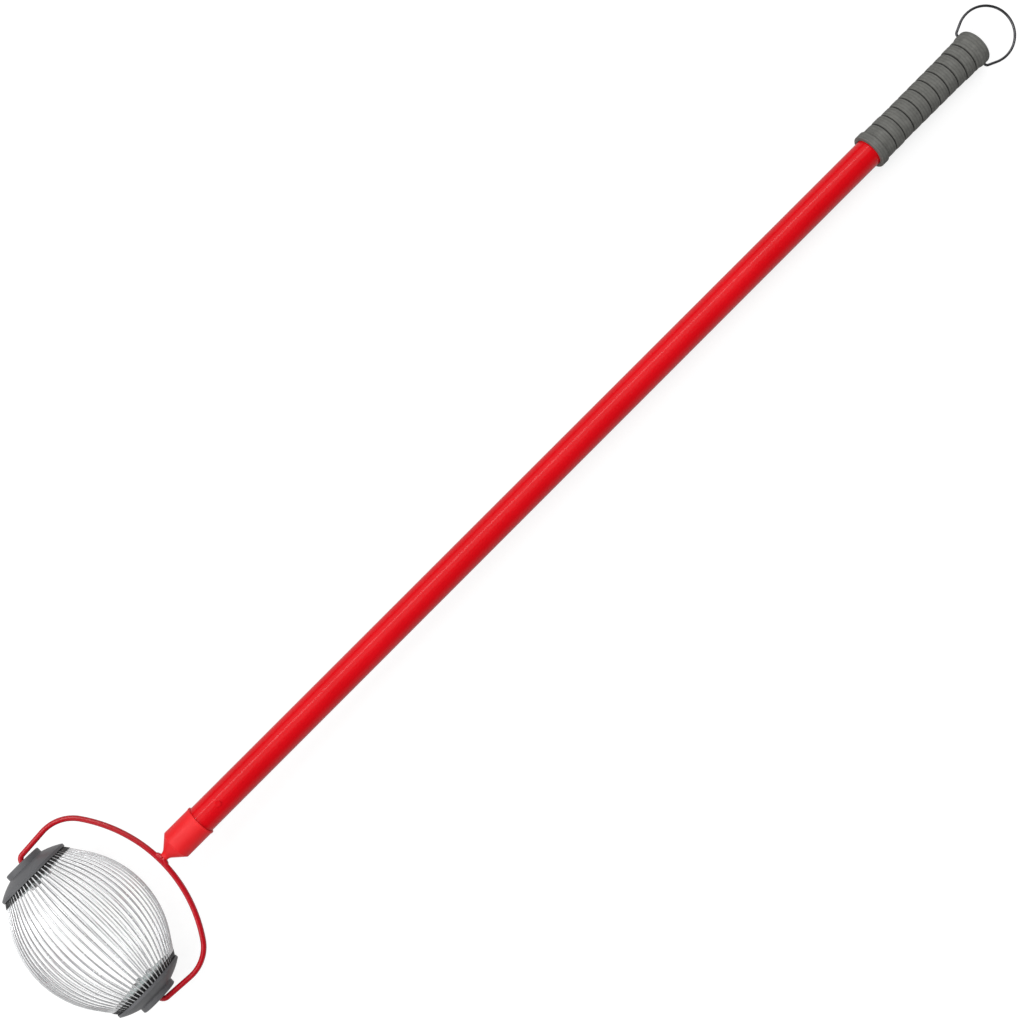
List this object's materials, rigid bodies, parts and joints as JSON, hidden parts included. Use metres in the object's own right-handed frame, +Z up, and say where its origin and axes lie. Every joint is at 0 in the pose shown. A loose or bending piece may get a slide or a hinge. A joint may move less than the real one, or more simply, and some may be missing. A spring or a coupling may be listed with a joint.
{
  "type": "rolling nut gatherer",
  "caption": "Hand tool that picks up fallen nuts: a barrel cage of sprung wires rolling in a bow at the end of a long tubular handle with a ribbed grip and a hanging loop.",
  "frame": {"origin": "on the floor under the middle of the tool's length, where it lies on its roller and the end of its grip", "axes": "+X along the handle from the roller to the hanging loop, +Y along the roller's axle towards the right end as seen by the user who looks from the grip to the roller, +Z up"},
  "size_m": [1.1458, 0.1746, 0.1104],
  "materials": {
    "red_paint": "gloss red paint on steel tube",
    "red_vinyl": "satin red soft vinyl",
    "red_rod": "gloss red paint on steel rod",
    "plug_nylon": "plain grey nylon",
    "grip_rubber": "matte dark grey rubber with fine ribs",
    "loop_wire": "bright spring steel wire",
    "grey_plastic": "satin dark grey moulded plastic",
    "black_plastic": "black moulded plastic",
    "zinc_steel": "zinc plated sheet steel",
    "rivet_steel": "bright plated tubular rivet",
    "cage_wire": "bright spring steel wire"
  },
  "bodies": {
    "handle": {"handle_tube": "red_paint", "grip": "grip_rubber", "neck_cap": "red_vinyl", "shank": "red_rod", "shank_plug": "plug_nylon", "plug_rivet": "red_paint", "bow": "red_rod", "bow_weld": "red_rod"},
    "roller": {"left_end_cap": "grey_plastic", "right_end_cap": "grey_plastic", "left_comb_ring": "black_plastic", "right_comb_ring": "black_plastic", "left_clamp_disc": "zinc_steel", "right_clamp_disc": "zinc_steel", "left_rivets": "rivet_steel", "right_rivets": "rivet_steel", "cage_wires_01": "cage_wire", "cage_wires_02": "cage_wire", "cage_wires_03": "cage_wire", "cage_wires_04": "cage_wire", "cage_wires_05": "cage_wire", "cage_wires_06": "cage_wire", "cage_wires_07": "cage_wire", "cage_wires_08": "cage_wire", "cage_wires_09": "cage_wire", "cage_wires_10": "cage_wire", "cage_wires_11": "cage_wire", "cage_wires_12": "cage_wire"},
    "loop": {"hang_loop": "loop_wire"}
  },
  "joints": [
    {"name": "roller_spin", "type": "hinge", "parent": "handle", "child": "roller", "pos_m": [-0.51774, 0, 0.05523], "axis": [0, 1, 0], "continuous": true},
    {"name": "loop_swing", "type": "hinge", "parent": "handle", "child": "loop", "pos_m": [0.52755, 0, 0.01671], "axis": [0, 1, 0], "range_deg": [-150, 150]}
  ]
}
